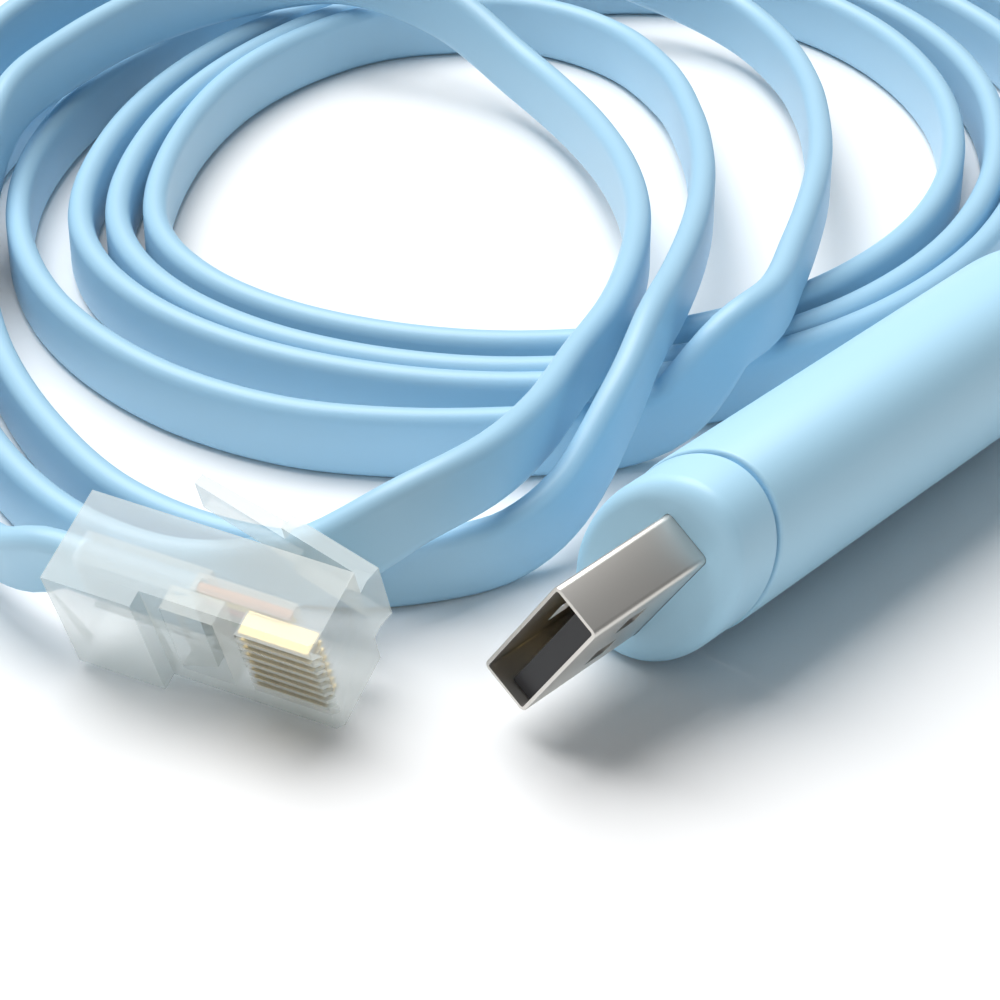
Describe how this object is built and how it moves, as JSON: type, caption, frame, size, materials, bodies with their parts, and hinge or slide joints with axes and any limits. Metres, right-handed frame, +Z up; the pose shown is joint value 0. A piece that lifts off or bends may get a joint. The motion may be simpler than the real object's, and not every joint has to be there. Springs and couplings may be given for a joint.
{
  "type": "rj45 console cable",
  "caption": "USB to RJ45 console cable: oval moulded USB connector, flat cable lying in loose coils on edge, clear modular plug.",
  "frame": {"origin": "on the floor, under the middle of the USB connector (cable and plug left out)", "axes": "+X along the USB connector, from its strain relief to the mouth of its metal shell; +Z up"},
  "size_m": [0.146, 0.116, 0.0184],
  "materials": {
    "shell_metal": "bright nickel plate",
    "insulator": "satin",
    "contact_gold": "gold plate",
    "housing_pvc": "satin",
    "cable_pvc": "satin",
    "clear_plug": "polished, see-through",
    "wire_blue": "satin",
    "wire_orange": "satin",
    "wire_black": "satin",
    "wire_red": "satin",
    "wire_green": "satin",
    "wire_yellow": "satin",
    "wire_brown": "satin",
    "wire_white": "satin"
  },
  "bodies": {
    "root": {"usb_shell": "shell_metal", "usb_insulator": "insulator", "usb_contact_1": "contact_gold", "usb_contact_2": "contact_gold", "usb_contact_3": "contact_gold", "usb_contact_4": "contact_gold", "housing_cap": "housing_pvc", "housing_body": "housing_pvc", "cable_usb_lead": "cable_pvc", "cable_coil": "cable_pvc", "cable_plug_lead": "cable_pvc", "rj45_body": "clear_plug", "rj45_contact_1": "contact_gold", "rj45_contact_2": "contact_gold", "rj45_contact_3": "contact_gold", "rj45_contact_4": "contact_gold", "rj45_contact_5": "contact_gold", "rj45_contact_6": "contact_gold", "rj45_contact_7": "contact_gold", "rj45_contact_8": "contact_gold", "wire_1": "wire_orange", "wire_2": "wire_yellow", "wire_3": "wire_red", "wire_4": "wire_black", "wire_5": "wire_green", "wire_6": "wire_blue", "wire_7": "wire_brown", "wire_8": "wire_white"}
  },
  "joints": []
}
